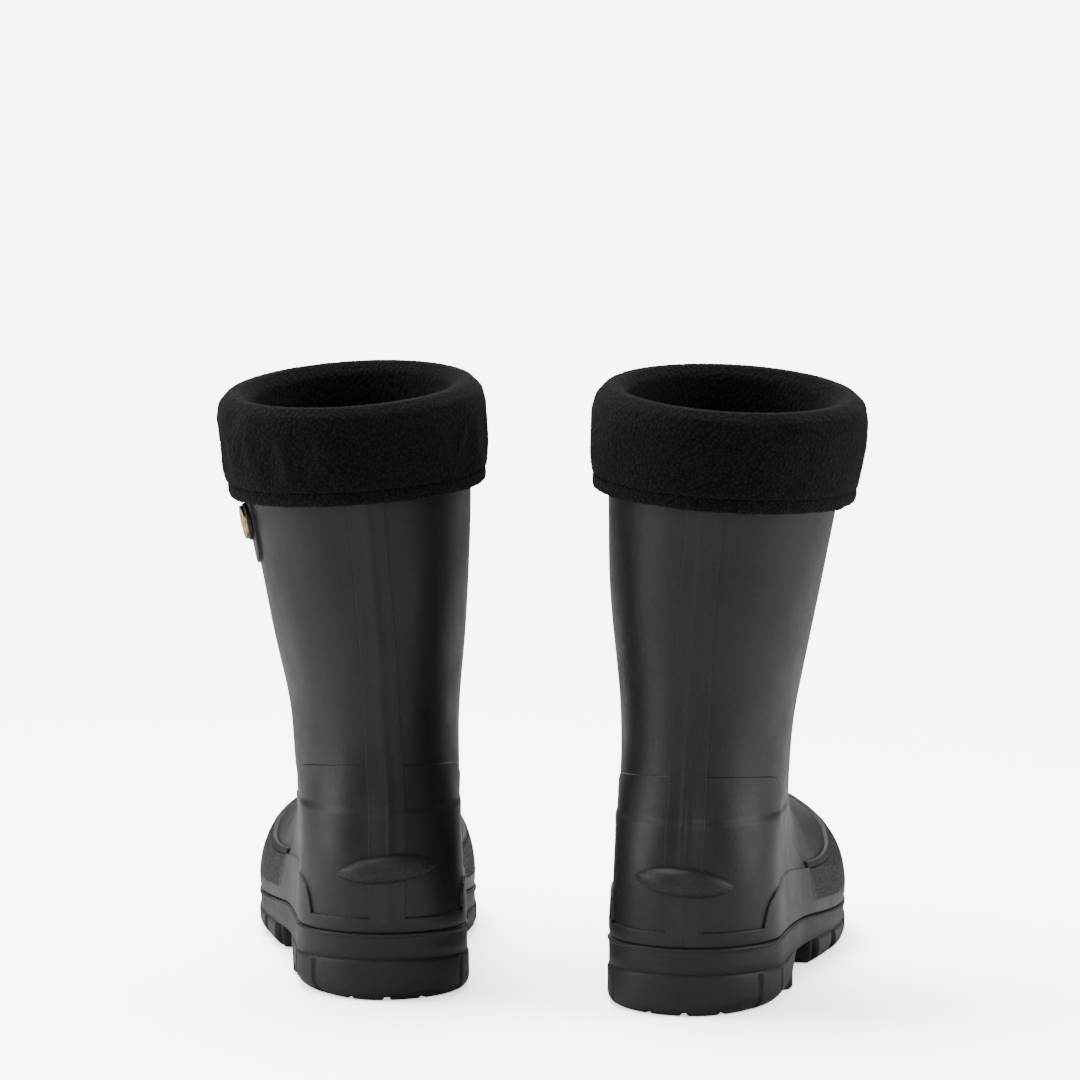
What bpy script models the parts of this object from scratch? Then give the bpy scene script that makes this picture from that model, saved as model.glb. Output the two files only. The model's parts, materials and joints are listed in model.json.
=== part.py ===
"""A pair of mid-calf rubber boots with fleece liners turned down over the shaft tops.

Each boot is built in its own frame, in millimetres: +Y from heel to toe, +Z up, y = 0 at the
back of the heel, z = 0 on the ground. Lateral is +x on the right boot, and the left boot is its
mirror image. A point of the boot's surface is named by two numbers. Its column runs from 0 at
the back of the heel to 1 at the toe, and is negative on the medial side. Its level runs from 0
at the sole to 7 at the shaft's rim, one step for each ring in RINGS.
"""

import math

import bmesh
import bpy
import numpy as np
from mathutils import Matrix, Vector

MM = 0.001

# Where the boots stand: heel origins, and how far each toe turns out
BOOTS = {
    "left": {"mirror": -1, "origin": (-74.3, 38.0), "toe_out_deg": 5.5},
    "right": {"mirror": 1, "origin": (68.5, 0.0), "toe_out_deg": 10.0},
}

# The boot's surface, as eight rings from the sole to the shaft's rim:
# feather line, foxing line, heel bulge, ledge, ankle, lower calf, calf, rim.
# tilt is how far a ring drops for each millimetre towards the lateral side.
RINGS = {
    "back_y": (3.0, 0.5, 0.0, 4.5, 8.0, 8.5, 4.5, -2.0),
    "front_y": (293.0, 298.0, 288.0, 232.0, 176.0, 136.0, 122.0, 128.0),
    "back_round": (46.0, 46.0, 46.0, 46.0, 60.0, 63.7, 58.7, 65.0),
    "front_round": (66.0, 68.0, 68.0, 68.0, 84.0, 63.7, 58.7, 65.0),
    "shift_x": (0.0, 0.0, 0.0, 0.0, 0.6, 2.2, 5.8, 12.0),
    "tilt": (0.0, 0.0, 0.0, 0.0, 0.0, 0.005, 0.03, 0.075),
    "back_z": (33.5, 41.5, 66.0, 93.0, 116.5, 150.0, 200.0, 268.0),
    "waist_z": (28.0, 36.0, 57.0, 85.0, 112.0, 150.0, 200.0, 271.0),
    "ball_z": (22.0, 31.0, 53.0, 78.0, 108.0, 149.0, 200.0, 273.0),
    "front_z": (31.0, 43.0, 66.0, 82.0, 105.0, 148.0, 201.0, 276.0),
}
LATERAL_WIDTHS = {
    "heel": (40.0, 40.3, 39.0, 38.6, 40.6, 43.8, 50.8, 57.8),
    "waist": (43.5, 43.8, 40.5, 38.3, 40.8, 43.8, 50.8, 57.8),
    "ball": (53.0, 54.0, 47.5, 33.0, 35.5, 43.8, 50.8, 57.8),
    "toe": (43.5, 44.5, 37.0, 27.0, 35.0, 43.8, 50.8, 57.8),
}
MEDIAL_WIDTHS = {
    "heel": (40.0, 40.3, 39.0, 38.6, 40.6, 43.8, 50.8, 57.8),
    "waist": (38.0, 39.0, 39.0, 39.5, 40.8, 43.8, 50.8, 57.8),
    "ball": (56.5, 57.5, 52.5, 39.5, 39.5, 43.8, 50.8, 57.8),
    "toe": (48.0, 49.0, 45.0, 35.0, 37.0, 43.8, 50.8, 57.8),
}
WIDTH_STATIONS = (0.15, 0.42, 0.68, 0.90)
HEIGHT_STATIONS = (0.0, 0.42, 0.68, 1.0)
RIM_LEVEL = 7.0
COLUMNS = 15
LEVELS = (0.0, 0.5, 1.0, 1.5, 2.0, 2.5, 3.0, 3.5, 4.0, 4.5, 5.0, 5.5, 6.0, 6.5, 7.0)

# Rubber
WALL = 2.6
GAP = 0.45
PANEL = 1.2
STRIP = 1.5
STRIP_HALF_WIDTH = 9.0
FOXING_LEVEL = 0.96
PANEL_LEVELS = (1.04, 1.5, 2.0, 2.5, 3.0, 3.5, 4.0)
PANEL_COLUMNS = 6
GUARD_LEVELS = (0.2, 0.5, 1.0, 1.5, 2.0)
GUARD_BACK_COLUMN = 0.467
TRIM_LEVELS = (2.03, 2.25)
TRIM_LIFT = 0.3
LUG_HEIGHT = 65.5
LUG_HALF_LENGTH = 25.5
LUG_HALF_HEIGHT = 7.0
LUG_DEPTH = 6.5
LUG_BASE = 2.5
LUG_EDGE = 0.6
LUG_TILT = 2.0

# Sole: how far each layer stands out from the feather line, and its heights. The midsole's
# thickness is given at the four height stations.
WELT = 2.5
MIDSOLE_THICKNESS = (14.0, 13.0, 8.5, 9.0)
HEEL_BREAST_COLUMN = 0.29
TREAD_BACK_COLUMN = 0.48
TOE_SPRING = 11.0
TOE_SPRING_START = 215.0
TOE_TIP = 296.0
SOLE_CHAMFER = 4.0
INSOLE_THICKNESS = 4.0

# Fleece liner
LINER_GAP = 0.6
LINER = 3.0
LINER_SPLIT_LEVEL = 5.95
LINER_TOP_LEVEL = 6.8
SHAFT_LEAN_DEG = 4.2
# Sections round the rim: distance out from the shaft wall, height above the rim
CUFF_SECTION = (
    (2.2, -17.9), (6.6, -17.9), (8.2, -8.0), (9.0, 2.0), (9.2, 11.0), (7.2, 18.5), (2.5, 22.8),
    (-3.0, 22.8), (-7.6, 18.5), (-9.0, 10.0), (-9.0, -7.0), (-6.0, -7.0), (-5.6, 4.5),
    (-1.8, 8.0), (2.2, 4.5),
)  # fmt: skip
HEM_SECTION = ((2.2, -24.6), (5.2, -24.6), (6.2, -21.5), (6.2, -18.3), (2.2, -18.3))
BINDING_SECTION = (
    (0.6, -6.0), (1.6, -6.0), (1.6, 3.0), (0.6, 3.8), (-1.8, 3.8), (-2.6, 3.0), (-2.6, 0.8),
    (0.6, 0.8),
)  # fmt: skip
CUFF_FRONT_RISE = 7.0

# Badge on the left shaft's lateral side
BADGE_COLUMN = 0.47
BADGE_HEIGHT = 232.5
TAB_SIZE = (22.0, 30.5)
TAB_DROP = 5.75
TAB = 2.0
PAD = (9.4, 2.4)
EMBLEM = (8.4, 2.4)

COLOURS = {
    "rubber": ((0.035, 0.035, 0.037, 1.0), 0.5, 0.0),
    "sole": ((0.030, 0.030, 0.032, 1.0), 0.6, 0.0),
    "guard": ((0.040, 0.040, 0.042, 1.0), 0.65, 0.0),
    "fleece": ((0.012, 0.012, 0.013, 1.0), 0.95, 0.0),
    "footbed": ((0.060, 0.060, 0.062, 1.0), 0.9, 0.0),
    "brass": ((0.750, 0.520, 0.220, 1.0), 0.3, 1.0),
}


def clear_scene():
    for obj in list(bpy.data.objects):
        bpy.data.objects.remove(obj, do_unlink=True)


def spline(knots, values, where):
    """A natural cubic spline through the knots, straight beyond its ends."""
    knots = np.asarray(knots, float)
    values = np.asarray(values, float)
    where = np.asarray(where, float)
    step = np.diff(knots)
    slope = np.diff(values) / step
    system = np.eye(len(knots))
    right = np.zeros(len(knots))
    for i in range(1, len(knots) - 1):
        system[i, i - 1 : i + 2] = step[i - 1], 2 * (step[i - 1] + step[i]), step[i]
        right[i] = 6 * (slope[i] - slope[i - 1])
    bend = np.linalg.solve(system, right)
    held = np.clip(where, knots[0], knots[-1])
    i = np.clip(np.searchsorted(knots, held) - 1, 0, len(step) - 1)
    a = (knots[i + 1] - held) / step[i]
    b = (held - knots[i]) / step[i]
    curve = a * values[i] + b * values[i + 1]
    curve += ((a**3 - a) * bend[i] + (b**3 - b) * bend[i + 1]) * step[i] ** 2 / 6
    low = slope[0] - step[0] * bend[1] / 6
    high = slope[-1] + step[-1] * bend[-2] / 6
    return curve + np.where(where < knots[0], low, high) * (where - held)


def at_level(values, level):
    return float(spline(range(len(values)), values, level))


def half_ring(level, lateral):
    """Points along one half of the ring at this level, from the heel's back to the toe."""
    back = at_level(RINGS["back_y"], level)
    front = at_level(RINGS["front_y"], level)
    back_round = at_level(RINGS["back_round"], level)
    front_round = at_level(RINGS["front_round"], level)
    along = (1 - np.cos(np.linspace(0, math.pi, 241))) / 2
    y = back + (front - back) * along
    behind = np.clip((back + back_round - y) / back_round, 0, 1)
    ahead = np.clip((y - front + front_round) / front_round, 0, 1)
    table = LATERAL_WIDTHS if lateral else MEDIAL_WIDTHS
    widths = [at_level(table[name], level) for name in ("heel", "waist", "ball", "toe")]
    width = spline(WIDTH_STATIONS, widths, along)
    width *= np.sqrt(1 - behind**2) * np.sqrt(1 - ahead**2)
    heights = [at_level(RINGS[name], level) for name in ("back_z", "waist_z", "ball_z", "front_z")]
    across = width if lateral else -width
    x = at_level(RINGS["shift_x"], level) + across
    z = spline(HEIGHT_STATIONS, heights, along) - at_level(RINGS["tilt"], level) * across
    return np.stack([x, y, z], axis=1)


def ring(level, columns):
    """Points of the ring at these columns, which may run past 1 and wrap round."""
    columns = (np.asarray(columns, float) + 1) % 2 - 1
    points = np.empty((len(columns), 3))
    for lateral in (True, False):
        chosen = columns >= 0 if lateral else columns < 0
        line = half_ring(level, lateral)
        run = np.concatenate([[0], np.cumsum(np.linalg.norm(np.diff(line, axis=0), axis=1))])
        for axis in range(3):
            wanted = np.abs(columns[chosen]) * run[-1]
            points[chosen, axis] = np.interp(wanted, run, line[:, axis])
    return points


def half_length(level):
    line = half_ring(level, True)
    return np.linalg.norm(np.diff(line, axis=0), axis=1).sum()


def surface(columns, levels, offset=0.0):
    """A grid of points, a row for each level, moved out from the boot's surface by offset.

    columns is a list, or a function that gives the list at a level.
    """
    small = 0.01
    rows = []
    for level in levels:
        line = np.asarray(columns(level) if callable(columns) else columns)
        middle = min(max(level, small), RIM_LEVEL - small)
        across = ring(level, line + small) - ring(level, line - small)
        up = ring(middle + small, line) - ring(middle - small, line)
        normal = np.cross(across, up)
        normal /= np.linalg.norm(normal, axis=1, keepdims=True)
        rows.append(ring(level, line) + normal * offset)
    return np.array(rows)


def level_at_height(height):
    """The level whose ring is at this height at the heel's back."""
    levels = np.linspace(0, RIM_LEVEL, 701)
    return float(np.interp(height, spline(range(8), RINGS["back_z"], levels), levels))


def round_columns():
    return np.linspace(-1, 1, 2 * COLUMNS, endpoint=False)


def grid_faces(rows, count, wrap):
    """Quads of a grid, whose normals point out from the boot."""
    faces = []
    for i in range(rows - 1):
        for j in range(count if wrap else count - 1):
            k = (j + 1) % count
            faces.append((i * count + j, i * count + k, (i + 1) * count + k, (i + 1) * count + j))
    return faces


class Boot:
    """One boot: its frame, its side and the objects that make it up."""

    def __init__(self, side, collection, materials):
        self.side = side
        self.mirror = BOOTS[side]["mirror"]
        self.collection = collection
        self.materials = materials
        self.frame = bpy.data.objects.new(f"{side}_boot_frame", None)
        x, y = BOOTS[side]["origin"]
        self.frame.location = (x * MM, y * MM, 0)
        self.frame.rotation_euler.z = -self.mirror * math.radians(BOOTS[side]["toe_out_deg"])
        collection.objects.link(self.frame)

    def add(self, name, points, faces, material, closed=True):
        """An object of this boot from points in millimetres, mirrored on the left boot."""
        points = np.asarray(points, float).reshape(-1, 3) * (self.mirror * MM, MM, MM)
        if self.mirror < 0:
            faces = [tuple(reversed(face)) for face in faces]
        mesh = bpy.data.meshes.new(f"{self.side}_{name}")
        mesh.from_pydata([tuple(point) for point in points], [], faces)
        work = bmesh.new()
        work.from_mesh(mesh)
        bmesh.ops.remove_doubles(work, verts=work.verts, dist=1e-6)
        if closed:
            bmesh.ops.recalc_face_normals(work, faces=work.faces)
        work.to_mesh(mesh)
        work.free()
        mesh.shade_smooth()
        mesh.set_sharp_from_angle(angle=math.radians(40))
        mesh.materials.append(self.materials[material])
        obj = bpy.data.objects.new(f"{self.side}_{name}", mesh)
        self.collection.objects.link(obj)
        obj.parent = self.frame
        return obj

    def shell(self, name, columns, levels, outside, thickness, material, wrap=False):
        """A layer of even thickness whose outer face is this far out from the boot's surface."""
        points = surface(columns, levels, outside)
        faces = grid_faces(len(levels), points.shape[1], wrap)
        obj = self.add(name, points, faces, material, closed=False)
        solidify = obj.modifiers.new("thickness", "SOLIDIFY")
        solidify.thickness = thickness * MM
        solidify.offset = -1
        return obj

    def plate(self, name, columns, levels, material):
        """A solid with a flat-sided outline: levels holds (outward offset, height function)."""
        sides = []
        for offset, height in levels:
            for sign in (1, -1):
                line = surface(sign * np.asarray(columns), [0.0])[0]
                across = surface(sign * np.asarray(columns), [0.0], 1.0)[0] - line
                across[:, 2] = 0
                across /= np.linalg.norm(across, axis=1, keepdims=True)
                line = line + across * offset
                # The two middle columns lie on the boot's centre line.
                line[np.isin(columns, (0.0, 1.0)), 0] = 0
                line[:, 2] = [height(y) for y in line[:, 1]]
                sides.append(line)
        count = len(columns)
        faces = []
        top = 2 * len(levels) - 2
        for k in range(count - 1):
            faces.append((k, k + 1, count + k + 1, count + k))
            high = top * count + k
            faces.append((high, high + 1, high + count + 1, high + count))
            for low in range(0, top, 2):
                for side in (0, 1):
                    a = (low + side) * count + k
                    b = (low + side + 2) * count + k
                    faces.append((a, a + 1, b + 1, b))
        for low in range(0, top, 2):
            for k in (0, count - 1):
                a = low * count + k
                b = (low + 2) * count + k
                faces.append((a, a + count, b + count, b))
        return self.add(name, np.concatenate(sides), faces, material)

    def rim_ring(self, name, section, material, front_rise=0.0):
        """A ring with this section that follows the shaft's rim and leans with the shaft."""
        columns = round_columns()
        rim = surface(columns, [RIM_LEVEL])[0]
        out = surface(columns, [RIM_LEVEL], 1.0)[0] - rim
        out[:, 2] = 0
        out /= np.linalg.norm(out, axis=1, keepdims=True)
        lean = np.array([math.tan(math.radians(SHAFT_LEAN_DEG)), 0, 1])
        forward = (1 - np.cos(math.pi * columns))[:, None] / 2
        points = []
        for distance, height in section:
            raised = height + front_rise * forward * max(height, 0) / 23
            points.append(rim + out * distance + lean * raised)
        points.append(points[0])
        faces = grid_faces(len(points), len(columns), True)
        return self.add(name, points, faces, material)

    def build_upper(self):
        self.shell("upper", round_columns(), LEVELS, 0, WALL, "rubber", wrap=True)
        self.rim_ring("top_binding", BINDING_SECTION, "rubber")

    def build_panels(self):
        def strip_columns(level):
            reach = STRIP_HALF_WIDTH / half_length(level)
            return np.linspace(-reach, reach, 5)

        def panel_columns(level):
            back = (STRIP_HALF_WIDTH + 1.0) / half_length(level)
            return np.array([back, *np.arange(1, 1 + PANEL_COLUMNS) / COLUMNS])

        strip_levels = (FOXING_LEVEL + 0.08, *LEVELS[3:14], 6.9)
        self.shell("back_strip", strip_columns, strip_levels, GAP + STRIP, STRIP, "rubber")
        outside = GAP + PANEL
        self.shell("ankle_panel_lateral", panel_columns, PANEL_LEVELS, outside, PANEL, "rubber")
        self.shell(
            "ankle_panel_medial",
            lambda level: -panel_columns(level)[::-1],
            PANEL_LEVELS,
            outside,
            PANEL,
            "rubber",
        )
        count = round(GUARD_BACK_COLUMN * COLUMNS)
        heel = np.arange(-count + 1, count) / COLUMNS
        foxing_levels = (0.22, 0.5, FOXING_LEVEL)
        self.shell("foxing_band", heel, foxing_levels, outside + 0.3, PANEL + 0.3, "rubber")
        toe = 1 + np.arange(-COLUMNS + count, COLUMNS - count + 1) / COLUMNS
        self.shell("toe_guard", toe, GUARD_LEVELS, outside, PANEL, "guard")
        self.shell("toe_guard_trim", toe, TRIM_LEVELS, outside + TRIM_LIFT, PANEL, "guard")

    def build_lug(self):
        """The kick-off lug, a lens round the heel whose lateral tip is the lower one."""
        middle = level_at_height(LUG_HEIGHT)
        reach = LUG_HALF_LENGTH / half_length(middle)
        outer, inner = [], []
        for v in np.linspace(-1, 1, 7):
            outer.append([])
            inner.append([])
            for a in np.linspace(-1, 1, 13):
                taper = 1 - 0.85 * a * a
                height = LUG_HEIGHT - LUG_TILT * a + v * taper * LUG_HALF_HEIGHT
                level = level_at_height(height)
                swell = LUG_EDGE + LUG_DEPTH * taper * math.sqrt(1 - 0.98 * v * v)
                outer[-1].append(surface([a * reach], [level], LUG_BASE + swell)[0][0])
                inner[-1].append(surface([a * reach], [level], LUG_BASE)[0][0])
        self.add_between("kick_lug", np.array(outer), np.array(inner), "rubber")

    def add_between(self, name, outer, inner, material):
        """A solid between two open grids of the same size."""
        rows, count = outer.shape[:2]
        total = rows * count
        faces = grid_faces(rows, count, False)
        faces += [tuple(total + i for i in reversed(face)) for face in faces]
        edge = [*range(count)]
        edge += [i * count + count - 1 for i in range(1, rows)]
        edge += [(rows - 1) * count + j for j in range(count - 2, -1, -1)]
        edge += [i * count for i in range(rows - 2, 0, -1)]
        for a, b in zip(edge, edge[1:] + edge[:1]):
            faces.append((a, a + total, b + total, b))
        points = np.concatenate([outer.reshape(-1, 3), inner.reshape(-1, 3)])
        self.add(name, points, faces, material)

    def build_sole(self):
        heel_z = [at_level(RINGS[name], 0) for name in ("back_z", "waist_z", "ball_z", "front_z")]
        back = at_level(RINGS["back_y"], 0)
        length = at_level(RINGS["front_y"], 0) - back

        def feather(y):
            return float(spline(HEIGHT_STATIONS, heel_z, np.clip((y - back) / length, 0, 1)))

        def ground(y):
            lift = max(0.0, (y - TOE_SPRING_START) / (TOE_TIP - TOE_SPRING_START))
            return TOE_SPRING * lift**2

        def thickness(y):
            along = np.clip((y - back) / length, 0, 1)
            return float(spline(HEIGHT_STATIONS, MIDSOLE_THICKNESS, along))

        def midsole_bottom(y):
            return feather(y) - thickness(y)

        half = np.arange(COLUMNS + 1) / COLUMNS
        layers = (
            (WELT - 1.0, midsole_bottom),
            (WELT, lambda y: feather(y) - 0.6 * thickness(y)),
            (WELT - 0.5, lambda y: feather(y) - 0.35),
        )
        self.plate("midsole", half, layers, "sole")
        heel = [*half[half < HEEL_BREAST_COLUMN], HEEL_BREAST_COLUMN]
        layers = (
            (WELT - 1.0, lambda y: 0.0),
            (WELT, lambda y: SOLE_CHAMFER),
            (WELT - 0.5, lambda y: midsole_bottom(y) - 0.35),
        )
        self.plate("heel_block", heel, layers, "sole")
        tread = [TREAD_BACK_COLUMN, *half[half > TREAD_BACK_COLUMN]]
        layers = (
            (WELT - 1.0, ground),
            (WELT, lambda y: ground(y) + SOLE_CHAMFER),
            (WELT - 0.5, lambda y: midsole_bottom(y) - 0.35),
        )
        self.plate("forefoot_tread", tread, layers, "sole")
        inside = -WALL - 1.2
        layers = (
            (inside, lambda y: feather(y) + 0.35),
            (inside - 0.5, lambda y: feather(y) + 0.35 + INSOLE_THICKNESS),
        )
        self.plate("insole", half, layers, "footbed")

    def build_liner(self):
        outside = -WALL - LINER_GAP
        columns = round_columns()
        levels = (LINER_SPLIT_LEVEL + 0.02, 6.0, 6.5, LINER_TOP_LEVEL)
        self.shell("liner_leg", columns, levels, outside, LINER, "fleece", wrap=True)
        levels = (0.75, 1.0, 1.5, 2.0, 2.5, 3.0, 3.5, 4.0, 4.5, 5.0, 5.5, LINER_SPLIT_LEVEL)
        points = surface(columns, levels, outside - 0.3)
        faces = grid_faces(len(levels), len(columns), True)
        for j in range(COLUMNS):
            ahead, medial = COLUMNS + j, (COLUMNS - j) % (2 * COLUMNS)
            after, before = (ahead + 1) % (2 * COLUMNS), COLUMNS - j - 1
            faces.append((ahead, medial, before, after))
        sock = self.add("liner_foot", points, faces, "fleece", closed=False)
        solidify = sock.modifiers.new("thickness", "SOLIDIFY")
        solidify.thickness = (LINER - 0.3) * MM
        solidify.offset = -1
        self.rim_ring("cuff", CUFF_SECTION, "fleece", CUFF_FRONT_RISE)
        self.rim_ring("cuff_hem", HEM_SECTION, "fleece")

    def build_badge(self):
        """A rubber tab on the shaft's lateral side, which carries a pad and a round emblem."""
        level = level_at_height(BADGE_HEIGHT)
        centre = surface([BADGE_COLUMN], [level])[0][0]
        out = surface([BADGE_COLUMN], [level], 1.0)[0][0] - centre
        out = Vector(out * (self.mirror, 1, 1)).normalized()
        centre = Vector(centre * (self.mirror, 1, 1))
        up = (Vector((0, 0, 1)) - out * out.z).normalized()
        across = up.cross(out)
        turn = Matrix((across, up, out)).transposed().to_4x4()

        width, height = TAB_SIZE
        top, bottom = BADGE_HEIGHT + height / 2 - TAB_DROP, BADGE_HEIGHT - height / 2 - TAB_DROP
        levels = [level_at_height(z) for z in np.linspace(bottom, top, 6)]
        reach = width / 2 / half_length(level)
        columns = BADGE_COLUMN + np.linspace(-reach, reach, 5)
        self.shell("badge_tab", columns, levels, GAP + TAB, TAB, "rubber")

        for name, (radius, depth), lift, material in (
            ("badge_pad", PAD, GAP + TAB + 1.0, "rubber"),
            ("badge_emblem", EMBLEM, GAP + TAB + 1.0 + PAD[1] + 0.35, "brass"),
        ):
            work = bmesh.new()
            bmesh.ops.create_cone(
                work,
                cap_ends=True,
                segments=32,
                radius1=radius * MM,
                radius2=(radius - 0.5) * MM,
                depth=depth * MM,
            )
            mesh = bpy.data.meshes.new(f"{self.side}_{name}")
            work.to_mesh(mesh)
            work.free()
            mesh.shade_smooth()
            mesh.set_sharp_from_angle(angle=math.radians(40))
            mesh.materials.append(self.materials[material])
            obj = bpy.data.objects.new(f"{self.side}_{name}", mesh)
            self.collection.objects.link(obj)
            obj.parent = self.frame
            place = (centre + out * (lift + depth / 2)) * MM
            obj.matrix_local = Matrix.Translation(place) @ turn


def make_materials():
    made = {}
    for name, (colour, roughness, metallic) in COLOURS.items():
        material = bpy.data.materials.new(name)
        material.use_nodes = True
        shader = material.node_tree.nodes["Principled BSDF"]
        shader.inputs["Base Color"].default_value = colour
        shader.inputs["Roughness"].default_value = roughness
        shader.inputs["Metallic"].default_value = metallic
        made[name] = material
    return made


def centre_on_floor(boots):
    """Moves both boots so that the middle of their joint footprint is the origin."""
    bpy.context.view_layer.update()
    graph = bpy.context.evaluated_depsgraph_get()
    corners = []
    for boot in boots:
        for obj in boot.frame.children:
            evaluated = obj.evaluated_get(graph)
            mesh = evaluated.to_mesh()
            corners += [obj.matrix_world @ vertex.co for vertex in mesh.vertices]
            evaluated.to_mesh_clear()
    corners = np.array(corners)
    middle = (corners.min(axis=0) + corners.max(axis=0)) / 2
    for boot in boots:
        boot.frame.location.x -= middle[0]
        boot.frame.location.y -= middle[1]
    bpy.context.view_layer.update()


def main():
    clear_scene()
    collection = bpy.data.collections.new("rubber_boots")
    bpy.context.scene.collection.children.link(collection)
    materials = make_materials()
    boots = [Boot(side, collection, materials) for side in BOOTS]
    for boot in boots:
        boot.build_upper()
        boot.build_panels()
        boot.build_lug()
        boot.build_sole()
        boot.build_liner()
    boots[0].build_badge()
    centre_on_floor(boots)


main()
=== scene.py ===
"""The looks of a pair of rubber boots with fleece liners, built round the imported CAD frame.

Each boot is built in its own frame, in millimetres: +Y from heel to toe, +Z up, y = 0 at the
back of the heel, z = 0 on the ground. Lateral is +x on the right boot, and the left boot is its
mirror image. A point of the boot's surface has a column, from 0 at the back of the heel to 1 at
the toe and negative on the medial side, and a level, from 0 at the sole to 7 at the shaft's rim.
"""

import json
import math

import bpy
import numpy as np
from mathutils import Euler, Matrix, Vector


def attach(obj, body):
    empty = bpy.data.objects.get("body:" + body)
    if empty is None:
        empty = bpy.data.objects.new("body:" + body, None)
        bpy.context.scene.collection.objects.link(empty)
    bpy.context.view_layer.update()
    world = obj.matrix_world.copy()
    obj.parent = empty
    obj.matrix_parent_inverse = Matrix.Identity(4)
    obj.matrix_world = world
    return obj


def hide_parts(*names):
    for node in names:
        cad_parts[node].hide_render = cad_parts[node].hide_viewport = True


MM = 0.001

# The boots' surface, the same eight rings as the CAD: feather line, foxing line, heel bulge,
# ledge, ankle, lower calf, calf, rim. tilt is how far a ring drops for each millimetre towards
# the lateral side.
RINGS = {
    "back_y": (3.0, 0.5, 0.0, 4.5, 8.0, 8.5, 4.5, -2.0),
    "front_y": (293.0, 298.0, 288.0, 232.0, 176.0, 136.0, 122.0, 128.0),
    "back_round": (46.0, 46.0, 46.0, 46.0, 60.0, 63.7, 58.7, 65.0),
    "front_round": (66.0, 68.0, 68.0, 68.0, 84.0, 63.7, 58.7, 65.0),
    "shift_x": (0.0, 0.0, 0.0, 0.0, 0.6, 2.2, 5.8, 12.0),
    "tilt": (0.0, 0.0, 0.0, 0.0, 0.0, 0.005, 0.03, 0.075),
}
HEIGHTS = (
    (33.5, 41.5, 66.0, 93.0, 116.5, 150.0, 200.0, 268.0),
    (28.0, 36.0, 57.0, 85.0, 112.0, 150.0, 200.0, 271.0),
    (22.0, 31.0, 53.0, 78.0, 108.0, 149.0, 200.0, 273.0),
    (31.0, 43.0, 66.0, 82.0, 105.0, 148.0, 201.0, 276.0),
)
LATERAL_WIDTHS = (
    (40.0, 40.3, 39.0, 38.6, 40.6, 43.8, 50.8, 57.8),
    (43.5, 43.8, 40.5, 38.3, 40.8, 43.8, 50.8, 57.8),
    (53.0, 54.0, 47.5, 33.0, 35.5, 43.8, 50.8, 57.8),
    (43.5, 44.5, 37.0, 27.0, 35.0, 43.8, 50.8, 57.8),
)
MEDIAL_WIDTHS = (
    (40.0, 40.3, 39.0, 38.6, 40.6, 43.8, 50.8, 57.8),
    (38.0, 39.0, 39.0, 39.5, 40.8, 43.8, 50.8, 57.8),
    (56.5, 57.5, 52.5, 39.5, 39.5, 43.8, 50.8, 57.8),
    (48.0, 49.0, 45.0, 35.0, 37.0, 43.8, 50.8, 57.8),
)
WIDTH_STATIONS = (0.15, 0.42, 0.68, 0.90)
HEIGHT_STATIONS = (0.0, 0.42, 0.68, 1.0)
RIM_LEVEL = 7.0
SAMPLES = 961

# Where each boot stands: its heel mount lies this far forward on its centre line
HEEL_MOUNT_Y = 45.0
TOE_OUT_DEG = {"left": 5.5, "right": 10.0}
MIRROR = {"left": -1, "right": 1}
SHAFT_LEAN_DEG = 4.2

# Rubber, in millimetres
WALL = 2.6
TUCK = 0.4
STRIP_HALF_WIDTH = 9.0
LAYER = 1.6
COUNTER = 0.6
FOXING_LEVEL = 0.96
PANEL_FOOT_LEVEL = 0.9
GUARD_BACK_Y = 138.0
GUARD_TOP_LEVELS = (1.80, 2.03)
GUARD_RISE_Y = (150.0, 240.0)
TRIM_WIDTH_LEVELS = 0.16
PIT_PITCH = 2.1
LUG_HEIGHT = 65.5
LUG_HALF_LENGTH = 25.0
LUG_HALF_HEIGHT = 6.9
LUG_DEPTH = 7.0
LUG_TILT = 2.0
LEDGE_HEIGHT = 93.0
LEDGE_DEPTH = 0.9
BUMP_SIZE = 1.7
# Outlines on the surface, as (distance forward, height)
SIDE_PANEL_LINE = (
    (23.2, 42.6), (24.0, 46.0), (25.5, 49.8), (28.0, 53.2), (33.0, 56.0), (42.0, 57.8),
    (60.0, 59.2), (80.0, 58.6), (105.0, 55.6), (125.0, 52.6), (141.0, 50.8),
)
ANKLE_PANEL_LINE = (
    (0.0, 116.0), (10.0, 115.4), (25.0, 113.7), (40.0, 112.0), (45.0, 111.0), (52.0, 106.4),
    (60.0, 102.2), (84.0, 92.0), (105.0, 77.5), (122.0, 63.0), (138.0, 49.0),
)

# Sole
MIDSOLE_THICKNESS = (14.0, 13.0, 8.5, 9.0)
HEEL_BREAST_COLUMN = 0.29
HEEL_WALL = 3.05
REAR_NOTCHES_X = (-18.0, 0.0, 18.0)
SIDE_GROOVES_Y = (22.0, 44.0)
TREAD_BACK_COLUMN = 0.48
TOE_SPRING = 11.0
TOE_SPRING_START = 215.0
TOE_TIP = 296.0
TREAD_DEPTH = 4.0
CLEAT_PITCH = 30.0
CLEAT_GAP = (12.0, 5.0)
CLEAT_HEIGHT = 9.0
CLEAT_WALL = 2.95
CLEAT_STEP = 0.65

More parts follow.
